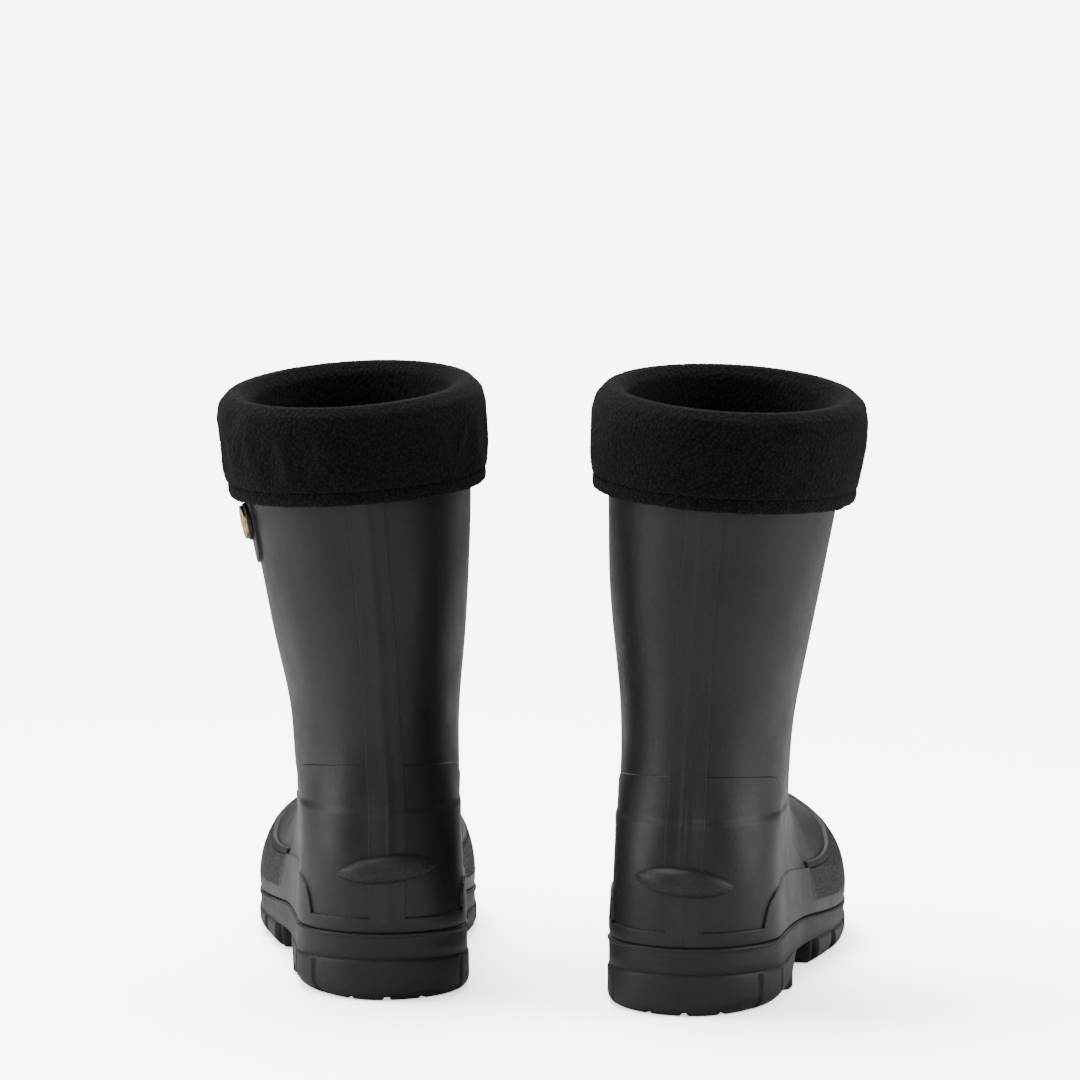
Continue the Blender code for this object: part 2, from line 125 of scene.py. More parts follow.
# Fleece: sections round the rim, as (distance out from the shaft wall, height above the rim)
CUFF_SECTION = (
    (2.2, -17.9), (6.6, -17.9), (8.2, -8.0), (9.0, 2.0), (9.2, 11.0), (7.2, 18.5), (2.5, 22.8),
    (-3.0, 22.8), (-7.6, 18.5), (-9.0, 10.0), (-9.0, -7.0), (-6.0, -7.0), (-5.6, 4.5),
    (-1.8, 8.0), (2.2, 4.5),
)
HEM_SECTION = (
    (2.2, -24.6), (5.2, -24.6), (6.2, -21.5), (6.2, -18.8), (4.6, -17.0), (2.2, -17.0),
)
BINDING_SECTION = (
    (0.6, -6.0), (1.6, -6.0), (1.6, 3.0), (0.6, 3.8), (-1.8, 3.8), (-2.6, 3.0), (-2.6, 0.8),
    (0.6, 0.8),
)
CUFF_FRONT_RISE = 7.0
NUB_SIZE = 2.1
NUB_HEIGHT = 0.36
LINER_NUB_SIZE = 2.9
LINER_OUTSIDE = -3.2
LINER = 3.0
LINER_SPLIT_LEVEL = 5.95
LINER_TOP_LEVEL = 6.8

# Badge on the left shaft's lateral side
BADGE_COLUMN = 0.47
BADGE_HEIGHT = 232.5
TAB_SIZE = (22.0, 30.5)
TAB_DROP = 5.75
TAB_LIFT = 1.6
PAD = (9.4, 1.9)
EMBLEM = (8.4, 1.7)

# Cloth simulation of the cuffs
CUFF_PRESSURE = 4.0
CUFF_SWELL = 0.0016
CLOTH_FRAMES = 20
CLOTH_SETTINGS = {
    "quality": 6,
    "mass": 0.25,
    "tension_stiffness": 12,
    "compression_stiffness": 12,
    "shear_stiffness": 4,
    "bending_stiffness": 1.5,
}

# Camera and light
CAMERA_PLACE = (-0.00046, -2.12312, 0.410)
CAMERA_TILT = 0.0918
CAMERA_LENS_MM = 138.9
FLOOR_HALF_WIDTH = 9.0
FLOOR_GAIN = 6.5
FLOOR_GLOW = 1.0
FLOOR_FADE = (0.45, 1.2)
WORLD_LIGHT = 0.12
WORLD_SEEN = 7.5
# Each light's place, the height it aims at, its size and its power
LIGHTS = {
    "key": ((0.0, -2.6, 1.5), 0.12, (1.8, 1.2), 17),
    "top": ((-0.4, 0.3, 2.1), 0.10, (1.4, 1.2), 42),
    "edge_left": ((-1.9, -0.1, 0.8), 0.15, (1.0, 1.4), 19),
    "edge_right": ((1.9, -0.2, 0.8), 0.15, (1.0, 1.4), 18),
    "back": ((0.0, 2.4, 1.3), 0.15, (2.4, 1.0), 26),
}


# ---------------------------------------------------------------- shapes


def spline(knots, values, where):
    """A natural cubic spline through the knots, straight beyond its ends."""
    knots = np.asarray(knots, float)
    values = np.asarray(values, float)
    where = np.asarray(where, float)
    step = np.diff(knots)
    slope = np.diff(values) / step
    system = np.eye(len(knots))
    right = np.zeros(len(knots))
    for i in range(1, len(knots) - 1):
        system[i, i - 1 : i + 2] = step[i - 1], 2 * (step[i - 1] + step[i]), step[i]
        right[i] = 6 * (slope[i] - slope[i - 1])
    bend = np.linalg.solve(system, right)
    held = np.clip(where, knots[0], knots[-1])
    i = np.clip(np.searchsorted(knots, held) - 1, 0, len(step) - 1)
    a = (knots[i + 1] - held) / step[i]
    b = (held - knots[i]) / step[i]
    curve = a * values[i] + b * values[i + 1]
    curve += ((a**3 - a) * bend[i] + (b**3 - b) * bend[i + 1]) * step[i] ** 2 / 6
    low = slope[0] - step[0] * bend[1] / 6
    high = slope[-1] + step[-1] * bend[-2] / 6
    return curve + np.where(where < knots[0], low, high) * (where - held)


def basis(knots, where):
    """The spline weights of each knot at these places, a row for each knot."""
    return np.array([spline(knots, row, where) for row in np.eye(len(knots))])


def run_along(points, axis=0):
    """The distance run along one axis of a grid of points, from 0 at its start."""
    run = np.linalg.norm(np.diff(points, axis=axis), axis=-1).cumsum(axis=axis)
    return np.insert(run, 0, 0, axis=axis)


ALONG = (1 - np.cos(np.linspace(0, math.pi, SAMPLES))) / 2
WIDTH_BASIS = basis(WIDTH_STATIONS, ALONG)
HEIGHT_BASIS = basis(HEIGHT_STATIONS, ALONG)


def half_rings(levels, lateral):
    """Points along one half of the ring at each level, and the length run along it."""
    weights = basis(np.arange(8), levels)
    back, front, back_round, front_round, shift, tilt = (
        (np.array(values) @ weights)[:, None] for values in RINGS.values()
    )
    y = back + (front - back) * ALONG
    behind = np.clip((back + back_round - y) / back_round, 0, 1)
    ahead = np.clip((y - front + front_round) / front_round, 0, 1)
    table = np.array(LATERAL_WIDTHS if lateral else MEDIAL_WIDTHS)
    width = (table @ weights).T @ WIDTH_BASIS * np.sqrt(1 - behind**2) * np.sqrt(1 - ahead**2)
    across = width if lateral else -width
    z = (np.array(HEIGHTS) @ weights).T @ HEIGHT_BASIS - tilt * across
    lines = np.stack([shift + across, y, z], axis=-1)
    return lines, run_along(lines, 1)


def place(levels, columns):
    """A grid of points: a row for each level, at that row's columns."""
    levels = np.atleast_1d(np.asarray(levels, float))
    columns = np.broadcast_to(columns, (len(levels), np.shape(columns)[-1]))
    columns = (columns + 1) % 2 - 1
    points = np.empty((*columns.shape, 3))
    for lateral in (True, False):
        lines, run = half_rings(levels, lateral)
        for i, line in enumerate(lines):
            chosen = columns[i] >= 0 if lateral else columns[i] < 0
            wanted = np.abs(columns[i, chosen]) * run[i, -1]
            for axis in range(3):
                points[i, chosen, axis] = np.interp(wanted, run[i], line[:, axis])
    return points


def normals(levels, columns):
    """The surface's outward normals at the same grid of points."""
    small = 0.01
    levels = np.atleast_1d(np.asarray(levels, float))
    middle = np.clip(levels, small, RIM_LEVEL - small)
    across = place(levels, columns + small) - place(levels, columns - small)
    up = place(middle + small, columns) - place(middle - small, columns)
    normal = np.cross(across, up)
    return normal / np.linalg.norm(normal, axis=2, keepdims=True)


def surface(levels, columns, offset=0.0):
    """The grid of points moved out from the boot's surface by offset, a number or a grid."""
    columns = np.asarray(columns, float)
    offset = np.asarray(offset, float)
    if offset.ndim:
        offset = offset[..., None]
    return place(levels, columns) + normals(levels, columns) * offset


def half_length(levels):
    return half_rings(np.atleast_1d(levels), True)[1][:, -1]


def column_at_y(level, y, lateral=True):
    """The column, without its sign, of the point this far forward on the ring at this level."""
    lines, run = half_rings(np.atleast_1d(level), lateral)
    return float(np.interp(y, lines[0, :, 1], run[0] / run[0, -1]))


def level_at_height(height):
    """The level whose ring is at this height at the heel's back."""
    levels = np.linspace(0, RIM_LEVEL, 701)
    return np.interp(height, spline(np.arange(8), HEIGHTS[0], levels), levels)


def on_surface(levels, columns):
    """Points and outward normals at a grid of levels, each of whose columns has one column."""
    fine = steps(levels.min(), levels.max(), 0.02)
    grid, out = place(fine, columns), normals(fine, columns)
    where = (levels - fine[0]) / (fine[1] - fine[0])
    low = np.clip(where.astype(int), 0, len(fine) - 2)
    share = (where - low)[..., None]
    column = np.arange(len(columns))
    return tuple(
        field[low, column] * (1 - share) + field[low + 1, column] * share for field in (grid, out)
    )


def levels_on_line(line, columns, low, high):
    """The level, between low and high, where each column crosses an outline."""
    forward, height = np.transpose(line)
    levels = steps(low, high, 0.02)
    grid = place(levels, columns)
    above = grid[..., 2] - np.interp(grid[..., 1], forward, height)
    first = np.clip(np.argmax(above > 0, axis=0), 1, len(levels) - 1)
    column = np.arange(len(columns))
    before, after = above[first - 1, column], above[first, column]
    share = np.clip(-before / (after - before), 0, 1)
    return levels[first - 1] + share * (levels[first] - levels[first - 1])


def top_distance(points, reach=60):
    """The distance from each point of a grid to the line of its last row."""
    nearest = np.full(points.shape[:2], np.inf)
    count = points.shape[1]
    for shift in range(-reach, reach + 1):
        other = np.clip(np.arange(count) + shift, 0, count - 1)
        gap = np.linalg.norm(points - points[-1, other], axis=2)
        nearest = np.minimum(nearest, gap)
    return nearest


def ridge(distance, width):
    """1 along a line and less with the distance from it."""
    return np.exp(-((distance / width) ** 2))


def layer(height, slope, edge):
    """A layer's height above the surface: tucked into it at its edge, and level past its slope."""
    return (height + TUCK) * smooth(0, slope, edge) - TUCK


def panel_grid(line, columns, search, rows):
    """Points and normals of a panel's grid, whose top is an outline between two levels."""
    low = PANEL_FOOT_LEVEL
    top = levels_on_line(line, columns, *search)
    levels = low + (top - low) * np.sin(np.linspace(0, math.pi / 2, rows))[:, None]
    return on_surface(levels, columns)


def steps(low, high, size):
    """Evenly spaced values from low to high, no further apart than size."""
    return np.linspace(low, high, math.ceil(abs(high - low) / size) + 1)


def smooth(low, high, value):
    """0 below low, 1 above high and a smooth turn between. High may be the lower one."""
    t = np.clip((value - low) / (high - low), 0, 1)
    return t * t * (3 - 2 * t)


def edge_distance(points):
    """Each grid point's distance to the grid's left, right, bottom and top borders."""
    across, up = run_along(points, 1), run_along(points, 0)
    return across, across[:, -1:] - across, up, up[-1:] - up


def rounded(a, b, radius):
    """The distance inside a corner with this radius, from the distances to its two sides."""
    inside = np.minimum(a, b)
    corner = radius - np.hypot(np.maximum(radius - a, 0), np.maximum(radius - b, 0))
    return np.where((a < radius) & (b < radius), corner, inside)


# The axes of the lattice of bumps, askew to the boot's so that no rows of bumps show
LATTICE_AXES = np.array(Euler((0.5, 0.7, 0.9)).to_matrix())


def jitter(cell, seed):
    """Three repeatable numbers from 0 to 1 for each cell of a lattice."""
    turns = np.array([[127.1, 311.7, 74.7], [269.5, 183.3, 246.1], [113.5, 271.9, 124.6]])
    return np.sin(cell @ turns.T + seed) * 43758.5453 % 1.0


def cell_height(points, size, seed=0.0, crease=0.4):
    """Rounded bumps packed side by side: 1 on top of a bump and 0 in the crease between two."""
    flat = points.reshape(-1, 3) @ LATTICE_AXES / size
    base = np.floor(flat)
    first = np.full(len(flat), 9.0)
    second = first.copy()
    for corner in np.ndindex(3, 3, 3):
        cell = base + np.array(corner) - 1
        centre = cell + 0.1 + 0.8 * jitter(cell, seed)
        distance = np.linalg.norm(centre - flat, axis=1)
        second = np.minimum(second, np.maximum(first, distance))
        first = np.minimum(first, distance)
    return smooth(0.0, crease, second - first).reshape(points.shape[:-1])


WAVES = (
    (0.071, 0.023, 0.052, 0.4), (-0.043, 0.066, 0.031, 1.9), (0.018, -0.058, 0.083, 3.1),
    (0.112, 0.041, -0.064, 4.4), (-0.087, -0.093, 0.044, 5.2), (0.029, 0.118, 0.097, 0.9),
)


def waves(points, length=1.0, seed=0.0):
    """A slow, repeatable waver from about -1 to 1, 60 to 100 mm long when length is 1."""
    total = 0.0
    for x, y, z, turn in WAVES:
        along = (points @ np.array([x, y, z])) / length
        total = total + np.sin(along + turn + seed * (1 + turn))
    return total / 3


def along_foot(values, y):
    """A value given at the four height stations, at these distances forward."""
    back, front = RINGS["back_y"][0], RINGS["front_y"][0]
    return spline(HEIGHT_STATIONS, values, np.clip((y - back) / (front - back), 0, 1))


def feather(y):
    """The height of the line where the upper meets the sole."""
    return along_foot([heights[0] for heights in HEIGHTS], y)


def sole_top(y):
    """The height of the line where the midsole meets the outsole."""
    return feather(y) - along_foot(MIDSOLE_THICKNESS, y)


def ground(y):
    """The height of the tread above the floor, which rises at the toe."""
    lift = np.clip((y - TOE_SPRING_START) / (TOE_TIP - TOE_SPRING_START), 0, None)
    return TOE_SPRING * lift**2


def closed_line(line, size, softness):
    """An outline closed by a straight side, evenly resampled and with soft corners."""
    line = np.concatenate([line, line[:1]])
    run = run_along(line)
    where = np.linspace(0, run[-1], round(run[-1] / size), endpoint=False)
    line = np.stack([np.interp(where, run, line[:, axis]) for axis in (0, 1)], axis=1)
    for _ in range(softness):
        line = (np.roll(line, 1, axis=0) + 2 * line + np.roll(line, -1, axis=0)) / 4
    return line


def foot_round(wall, corner, base, count):
    """The round between a sole's wall and its tread, as (distance out, height) pairs."""
    return [
        (wall - corner * (1 - math.cos(turn)), base + corner * (1 - math.sin(turn)))
        for turn in np.linspace(0, math.pi / 2, count)
    ]


def tread_relief(inward, floor, rim, middle, bars):
    """How deep a tread is cut: gaps in its rim, a channel inside it and bars in its middle."""
    channel = smooth(rim - 1.2, rim - 0.2, inward) * smooth(middle, middle - 1, inward)
    cut = np.maximum(channel, smooth(middle - 1, middle, inward) * bars)
    return np.maximum(smooth(rim, rim - 1, inward) * floor, TREAD_DEPTH * cut)


def plan_normals(line):
    """The outward normals, seen from above, of a closed line that runs anticlockwise."""
    along = np.roll(line, -1, axis=0) - np.roll(line, 1, axis=0)
    out = np.stack([along[:, 1], -along[:, 0]], axis=1)
    return out / np.linalg.norm(out, axis=1, keepdims=True)


def grid_normals(points, loop=True):
    """The outward normals of a grid that closes across, and with loop along its rows too."""
    across = np.roll(points, -1, axis=1) - np.roll(points, 1, axis=1)
    if loop:
        up = np.roll(points, -1, axis=0) - np.roll(points, 1, axis=0)
    else:
        up = np.gradient(points, axis=0)
    out = np.cross(across, up)
    return out / np.maximum(np.linalg.norm(out, axis=2, keepdims=True), 1e-9)


def resample(field, rows, columns):
    """A smooth field on a closed grid, read at other rows and columns."""
    for axis, where in ((0, rows), (1, columns)):
        field = np.moveaxis(field, axis, 0)
        low = np.floor(where).astype(int)
        t = (where - low).reshape(-1, *[1] * (field.ndim - 1))
        p, q, r, s = (field[(low + shift) % len(field)] for shift in (-1, 0, 1, 2))
        bend = 2 * p - 5 * q + 4 * r - s + (3 * (q - r) + s - p) * t
        field = np.moveaxis(q + 0.5 * t * (r - p + t * bend), 0, axis)
    return field


# ---------------------------------------------------------------- a boot and its pieces


def ledge(points):
    """How far the heel counter stands out below the ankle's ledge, fading towards the toe."""
    _, y, z = np.moveaxis(points, -1, 0)
    below = smooth(LEDGE_HEIGHT + 1.6, LEDGE_HEIGHT - 2.4, z)
    return LEDGE_DEPTH * below * smooth(45, 74, z) * smooth(125, 75, y)


def waver(points, seed):
    """The slight unevenness of hand-laid rubber, the same for every layer at one place."""
    push = [waves(points, 1.0, seed), waves(points, 0.9, seed + 2.0), 0 * points[..., 0]]
    return 0.28 * np.stack(push, axis=-1)


def settle(points, held, pressure, most):
    """How far each point of a closed fabric ring moves when it is stuffed, by cloth simulation.

    points is a closed grid in metres, held is True for the points that are sewn down, and no
    point moves further than most.
    """
    rows, count = points.shape[:2]
    mesh = quad_mesh("stuffing", points, wrap=True, loop=True)
    obj = bpy.data.objects.new("stuffing", mesh)
    bpy.context.scene.collection.objects.link(obj)
    group = obj.vertex_groups.new(name="sewn")
    group.add(np.flatnonzero(held).tolist(), 1.0, "REPLACE")
    cloth = obj.modifiers.new("cloth", "CLOTH")
    for key, value in CLOTH_SETTINGS.items():
        setattr(cloth.settings, key, value)
    cloth.settings.vertex_group_mass = "sewn"
    cloth.settings.use_pressure = True
    cloth.settings.uniform_pressure_force = pressure
    cloth.settings.effector_weights.gravity = 0
    cloth.point_cache.frame_start = 1
    cloth.point_cache.frame_end = CLOTH_FRAMES
    for frame_number in range(1, CLOTH_FRAMES + 1):
        bpy.context.scene.frame_set(frame_number)
    evaluated = obj.evaluated_get(bpy.context.evaluated_depsgraph_get())
    moved = np.empty(rows * count * 3)
    evaluated.data.vertices.foreach_get("co", moved)
    bpy.data.objects.remove(obj, do_unlink=True)
    bpy.context.scene.frame_set(1)
    shift = moved.reshape(rows, count, 3) - points
    length = np.linalg.norm(shift, axis=2, keepdims=True)
    return shift * np.minimum(1, most / np.maximum(length, 1e-9))


def quad_mesh(name, points, wrap=False, loop=False, flip=False):
    """A mesh of quads over a grid of points, joined up across it (wrap) or along it (loop)."""
    rows, count = points.shape[:2]
    index = np.arange(rows * count, dtype=np.int32).reshape(rows, count)
    if wrap:
        index = np.concatenate([index, index[:, :1]], axis=1)
    if loop:
        index = np.concatenate([index, index[:1]], axis=0)
    corners = [index[:-1, :-1], index[:-1, 1:], index[1:, 1:], index[1:, :-1]]
    quads = np.stack(corners[::-1] if flip else corners, axis=-1).reshape(-1, 4)
    mesh = bpy.data.meshes.new(name)
    mesh.vertices.add(rows * count)
    mesh.vertices.foreach_set("co", points.astype(np.float32).ravel())
    mesh.loops.add(quads.size)
    mesh.loops.foreach_set("vertex_index", quads.ravel())
    mesh.polygons.add(len(quads))
    mesh.polygons.foreach_set("loop_start", np.arange(0, quads.size, 4, dtype=np.int32))
    mesh.update(calc_edges=True)
    mesh.validate()
    mesh.shade_smooth()
    return mesh


class Boot:
    """One boot: its place, its side and the pieces that make up its looks."""

    def __init__(self, side, mount, materials):
        self.side = side
        self.mirror = MIRROR[side]
        self.materials = materials
        self.seed = 0.0 if side == "left" else 5.0
        turn = -self.mirror * math.radians(TOE_OUT_DEG[side])
        self.turn = np.array(
            [[math.cos(turn), -math.sin(turn), 0], [math.sin(turn), math.cos(turn), 0], [0, 0, 1]]
        )
        self.origin = np.array(mount) / MM - self.turn @ (0, HEEL_MOUNT_Y, 0)

    def world(self, points):
        """Points of the boot's own frame, in millimetres, as metres in the row frame."""
        return ((points * (self.mirror, 1, 1)) @ self.turn.T + self.origin) * MM

    def grid(self, name, points, slot, node=None, body="boot", wrap=False, loop=False, fields=()):
        """A piece from a grid of points whose rows run upwards, seen from outside."""
        flip = self.mirror < 0
        mesh = quad_mesh(f"{self.side}_{name}", self.world(points), wrap, loop, flip)
        return self.piece(mesh, slot, node, body, fields)

    def piece(self, mesh, slot, node=None, body="boot", fields=()):
        for field, values in fields:
            attribute = mesh.attributes.new(field, "FLOAT", "POINT")
            attribute.data.foreach_set("value", np.asarray(values, np.float32).ravel())
        mesh.materials.append(self.materials[slot])
        obj = bpy.data.objects.new(mesh.name, mesh)
        bpy.context.scene.collection.objects.link(obj)
        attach(obj, f"{self.side}_{body}")
        if node:
            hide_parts(f"{self.side}_{node}")
        return obj

    def rubber(self, name, points, slot="boot_rubber", node=None, **options):
        return self.grid(name, points + waver(points, self.seed), slot, node, **options)

    # ------------------------------------------------------------ rubber upper

    def build_upper(self):
        """The rubber shell: its outer face, the rolled rim and its inner wall."""
        columns = np.linspace(-1, 1, 420, endpoint=False)
        rising = level_at_height(steps(HEIGHTS[0][0], HEIGHTS[0][7], 1.2))
        outside = place(rising, columns)
        toe_line = (1 - np.abs(columns)) * half_length(rising)[:, None]
        mould_line = 0.25 * ridge(toe_line, 1.3) * smooth(2.2, 2.8, rising)[:, None]
        outside = outside + normals(rising, columns) * (ledge(outside) + mould_line)[..., None]
        falling = rising[::-4]
        inside = surface(falling, columns, -WALL)
        self.rubber("shell", np.concatenate([outside, inside]), node="upper", wrap=True)
        self.ring("rim_binding", BINDING_SECTION, 0.35, 2, "boot_rubber", "top_binding")

    def build_back_strip(self):
        """The stay up the back, a raised band with crisp edges and a soft rib up its middle."""
        u = steps(-STRIP_HALF_WIDTH, STRIP_HALF_WIDTH, 0.22)
        levels = level_at_height(steps(39.0, 262.0, 1.2))
        columns = u / half_length(levels)[:, None]
        edge = STRIP_HALF_WIDTH - np.abs(u)
        raised = layer(LAYER, 0.5, edge)
        raised += 0.95 * ridge(u, 2.4)
        base = place(levels, columns)
        self.rubber("back_stay", surface(levels, columns, raised + ledge(base)), node="back_strip")

    def build_ankle_panels(self):
        """A thin raised layer each side of the back strip, which slants down to the guard."""
        length = half_length([1.0])[0]
        columns = steps((STRIP_HALF_WIDTH - 0.4) / length, 0.49, 0.0016)
        for word, sign in (("lateral", 1), ("medial", -1)):
            across = columns if sign > 0 else -columns[::-1]
            base, out = panel_grid(ANKLE_PANEL_LINE, across, (1.0, 4.4), 110)
            raised = layer(COUNTER, 0.9, top_distance(base)) + ledge(base)
            points = base + out * raised[..., None]
            self.rubber(f"ankle_panel_{word}_skin", points, node=f"ankle_panel_{word}")

    def build_foxing(self):
        """The band round the foot just above the sole, with its joint at the heel's back."""
        length = half_length([0.5])[0]
        fine = steps(-2.4, 2.4, 0.2) / length
        rest = np.linspace(fine[-1], 2 + fine[0], 640)[1:-1]
        columns = np.concatenate([fine, rest])
        levels = np.concatenate([[0.02, 0.07, 0.12, 0.17], steps(0.22, FOXING_LEVEL, 0.05)])
        levels = np.concatenate([levels, FOXING_LEVEL + np.array([0.02, 0.045, 0.07])])
        base = place(levels, columns)
        top = edge_distance(base)[3]
        raised = layer(LAYER, 1.0, top)
        raised -= 1.4 * smooth(0.2, 0.02, levels)[:, None]
        u = ((columns + 1) % 2 - 1) * length
        raised -= 0.35 * ridge(u, 0.3) * smooth(0, 0.5, top)
        points = surface(levels, columns, raised)
        self.rubber("foxing", points, node="foxing_band", wrap=True)

    def build_guard(self):
        """The smooth side panels, the stippled guard round the toe and its pitted trim."""
        for word, sign in (("lateral", 1), ("medial", -1)):
            first = column_at_y(1.0, SIDE_PANEL_LINE[0][0], sign > 0)
            last = column_at_y(1.5, SIDE_PANEL_LINE[-1][0], sign > 0)
            across = steps(first, last, 0.0013)
            across = across if sign > 0 else -across[::-1]
            base, out = panel_grid(SIDE_PANEL_LINE, across, (0.9, 2.6), 60)
            bottom = edge_distance(base)[2]
            raised = layer(LAYER + 0.05, 0.55, top_distance(base))
            raised -= 0.25 * smooth(0.5, 0, bottom)
            raised -= 0.3 * ridge(base[..., 1] - GUARD_BACK_Y + 0.9, 0.4)
            points = base + out * (raised + ledge(base))[..., None]
            self.rubber(f"side_panel_{word}", points)
        columns, top = self.guard_top(680)
        levels = PANEL_FOOT_LEVEL + (top - PANEL_FOOT_LEVEL) * steps(0, 1, 0.02)[:, None]
        base, out = on_surface(levels, columns)
        left, right, _, above = edge_distance(base)
        edge = np.minimum.reduce([left, right, above])
        stipple = cell_height(base, BUMP_SIZE, self.seed)
        raised = layer(LAYER, 0.7, edge)
        raised += 0.3 * (stipple - 0.4) * smooth(0.6, 1.6, edge)
        points = base + out * raised[..., None]
        # The bump field also sets the painted shade in the creases and the painted highlight on the
        # bumps' tops, through the guard rubber's colour.
        self.rubber(
            "toe_guard_skin", points, "guard_rubber", "toe_guard", fields=[("bump", stipple)]
        )
        self.build_trim()

    def guard_top(self, count):
        """The guard's columns, from its lateral end round the toe, and its top level at each."""
        start = column_at_y(1.5, GUARD_BACK_Y, True)
        end = 2 - column_at_y(1.5, GUARD_BACK_Y, False)
        columns = np.linspace(start, end, count)
        forward = place([2.0], columns)[0, :, 1]
        low, high = GUARD_TOP_LEVELS
        return columns, low + (high - low) * smooth(*GUARD_RISE_Y, forward)

    def build_trim(self):
        """The flat band along the guard's top edge, with a row of small pits."""
        columns, top = self.guard_top(1000)
        levels = top - 0.02 + TRIM_WIDTH_LEVELS * steps(0, 1, 0.06)[:, None]
        base, out = on_surface(levels, columns)
        sides = edge_distance(base)
        edge = np.minimum.reduce(sides)
        pits = np.cos(sides[0] * 2 * math.pi / PIT_PITCH) * smooth(0.9, 1.5, edge)
        raised = layer(LAYER + 0.4, 0.7, edge) - 0.3 * smooth(0.0, 0.7, pits)
        points = base + out * raised[..., None]
        self.rubber("guard_trim", points, "guard_rubber", "toe_guard_trim")

    def build_lug(self):
        """The kick-off lug: a lens with a smooth top and a stippled face below its ridge."""
        along = np.sin(np.linspace(-1, 1, 190) * math.pi / 2)
        turn = np.linspace(-1, 1, 76)[:, None] * math.pi / 2
        reach = LUG_HALF_LENGTH / half_length(level_at_height([LUG_HEIGHT]))[0]
        taper = (1 - np.abs(along) ** 2.1) ** 0.85
        rise = LUG_HALF_HEIGHT * (0.06 + 0.94 * taper) * np.sin(turn)
        height = LUG_HEIGHT + rise - LUG_TILT * along - 0.5 * np.abs(along) ** 1.5
        depth = -0.5 + (LUG_DEPTH + 0.5) * taper ** 0.8 * np.cos(turn) ** 0.8
        points = self.on_heel(along * reach, height, 1.0 + depth)
        stipple = cell_height(points, 1.2, self.seed + 3)
        under = smooth(0.35, -0.05, turn) * smooth(-1.45, -1.2, turn) * smooth(0.02, 0.3, taper)
        points = self.on_heel(along * reach, height, 1.0 + depth + 0.25 * (stipple - 0.4) * under)
        # The bump field also sets the painted shade in the creases and the painted highlight on the
        # stippled face's bumps, through the guard rubber's colour.
        bump = 0.5 + (stipple - 0.5) * under
        self.rubber("kick_lug_skin", points, "guard_rubber", "kick_lug", fields=[("bump", bump)])

    def on_heel(self, columns, heights, offset):
        """Points of the heel's surface at these heights, which differ along each row."""
        levels = level_at_height(steps(50.0, 80.0, 1.0))
        grid = place(levels, columns)
        out = normals(levels, columns)
        rows = []
        for j in range(len(columns)):
            column = [np.interp(heights[:, j], grid[:, j, 2], grid[:, j, a]) for a in range(3)]
            lean = [np.interp(heights[:, j], grid[:, j, 2], out[:, j, a]) for a in range(3)]
            point = np.stack(column, axis=1)
            shift = (offset[:, j] + ledge(point))[:, None]
            rows.append(point + np.stack(lean, axis=1) * shift)
        return np.stack(rows, axis=1)

    # ------------------------------------------------------------ sole

    def build_sole(self):
        self.build_midsole()
        self.build_heel()
        self.build_forefoot()
        insole = frame["nodes"][f"{self.side}_insole"]
        insole.data.materials.clear()
        insole.data.materials.append(self.materials["footbed_felt"])

    def sole_piece(self, name, node, line, spine, wall, low, relief, flare=0.0):
        """A layer of the sole, from its wall's top down and in under the foot to its spine.

        wall holds (distance out, height) pairs, low gives the height of the underside and
        relief the depth of its grooves, from the points and how far in they lie. flare is
        how much further forward the top of the wall reaches than its foot.
        """
        out = plan_normals(line)
        rows = []
        for d, z in wall:
            forward = flare * smooth(7, 19, z) ** 1.3
            flat = line + out * np.reshape(d, (-1, 1)) + np.outer(forward, (0, 1))
            rows.append(np.column_stack([flat, z]))
        edge = rows[-1][:, :2]
        reach = np.linalg.norm(edge - spine, axis=1).max()
        for share in steps(0, 1, 0.85 / reach)[1:]:
            flat = edge + (spine - edge) * share
            inward = np.linalg.norm(flat - edge, axis=1)
            height = low(flat[:, 1]) + relief(flat, inward)
            rows.append(np.column_stack([flat, height]))
        return self.rubber(name, np.array(rows)[::-1], "sole_rubber", node, wrap=True)

    def build_midsole(self):
        """The welt: a groove under the foxing, a thin rough lip and a plain wall below it."""
        columns = np.linspace(-1, 1, 760, endpoint=False)
        line = place([0.0], columns)[0, :, :2]
        y = line[:, 1]
        top = feather(y)
        deep = along_foot(MIDSOLE_THICKNESS, y)
        rough = 0.14 * (cell_height(np.column_stack([line, top]), 1.2, self.seed) - 0.5)
        profile = (
            (-3.0, 1.0), (-1.0, 0.4), (-0.6, 0.0), (0.8, -0.15), (1.9, -0.1), (2.4, -0.25),
            (2.8, -0.6), (2.9, -1.2), (2.8, -1.8), (2.35, -2.15), (2.2, -2.6), (2.2, -4.0),
        )
        wall = [(d + (rough if d > 2.35 else 0), top + z) for d, z in profile]
        wall += [(d, top - deep * share) for d, share in ((2.2, 0.6), (2.2, 0.99), (1.7, 1.0))]

        def relief(flat, inward):
            shank = smooth(100, 106, flat[:, 1]) * smooth(136, 130, flat[:, 1])
            return 1.2 * shank * smooth(-0.3, 0.3, np.sin(flat[:, 1] * 2 * math.pi / 9))

        spine = self.spine(line, 40.0, 52.0)
        self.sole_piece("midsole_welt", "midsole", line, spine, wall, sole_top, relief)

    @staticmethod
    def spine(line, back, front):
        """The line that each outline point shrinks towards, this far from the two ends."""
        y = line[:, 1]
        along = np.clip(y, y.min() + back, max(y.max() - front, y.min() + back + 1))
        stations = np.linspace(y.min() + 2, y.max() - 2, 60)
        middle = []
        for station in stations:
            near = line[np.abs(y - station) < 4, 0]
            middle.append((near.min() + near.max()) / 2)
        return np.column_stack([np.interp(along, stations, middle), along])

